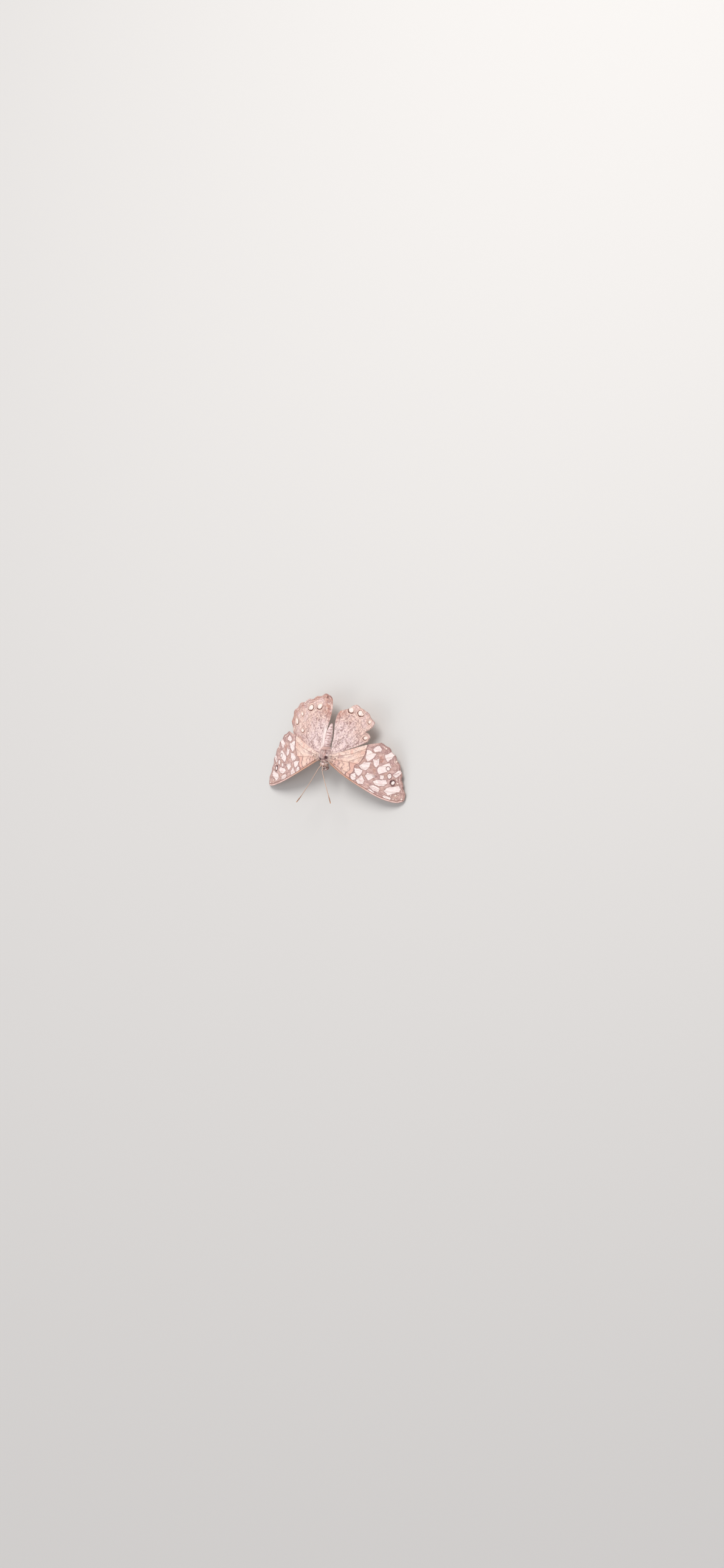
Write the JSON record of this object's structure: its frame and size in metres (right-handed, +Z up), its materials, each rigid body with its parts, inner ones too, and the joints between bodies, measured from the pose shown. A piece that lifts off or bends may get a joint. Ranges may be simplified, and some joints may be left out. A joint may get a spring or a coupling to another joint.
{
  "type": "gray cracker butterfly",
  "caption": "Life-size gray cracker butterfly at rest on its legs, wings spread flat and drooping, with mottled gray, tan and white scales and ringed eyespots.",
  "frame": {"origin": "on the floor under the middle of the butterfly's outline", "axes": "+X the butterfly's own left, -Y forward past its head, +Z up"},
  "size_m": [0.072, 0.045, 0.0133],
  "materials": {
    "wing_scales": "matte scales, mottled peach, brown, mauve gray and white",
    "body_hair": "matte short hair, pinkish gray with pale stripes and dark brown spots",
    "abdomen_scales": "matte scales, pale pinkish gray with broken brown bands",
    "compound_eye": "satin tan facets with brown stripes",
    "horn": "satin tan feelers with pale rings, and a brown tongue",
    "leg_scales": "matte scales, pale brown"
  },
  "bodies": {
    "root": {"thorax": "body_hair", "head": "body_hair", "abdomen": "abdomen_scales", "eye_left": "compound_eye", "eye_right": "compound_eye", "antenna_left": "horn", "antenna_right": "horn", "palp_left": "body_hair", "palp_right": "body_hair", "proboscis": "horn", "forewing_left": "wing_scales", "forewing_right": "wing_scales", "hindwing_left": "wing_scales", "hindwing_right": "wing_scales", "foreleg_left": "leg_scales", "foreleg_right": "leg_scales", "midleg_left": "leg_scales", "midleg_right": "leg_scales", "hindleg_left": "leg_scales", "hindleg_right": "leg_scales"}
  },
  "joints": []
}
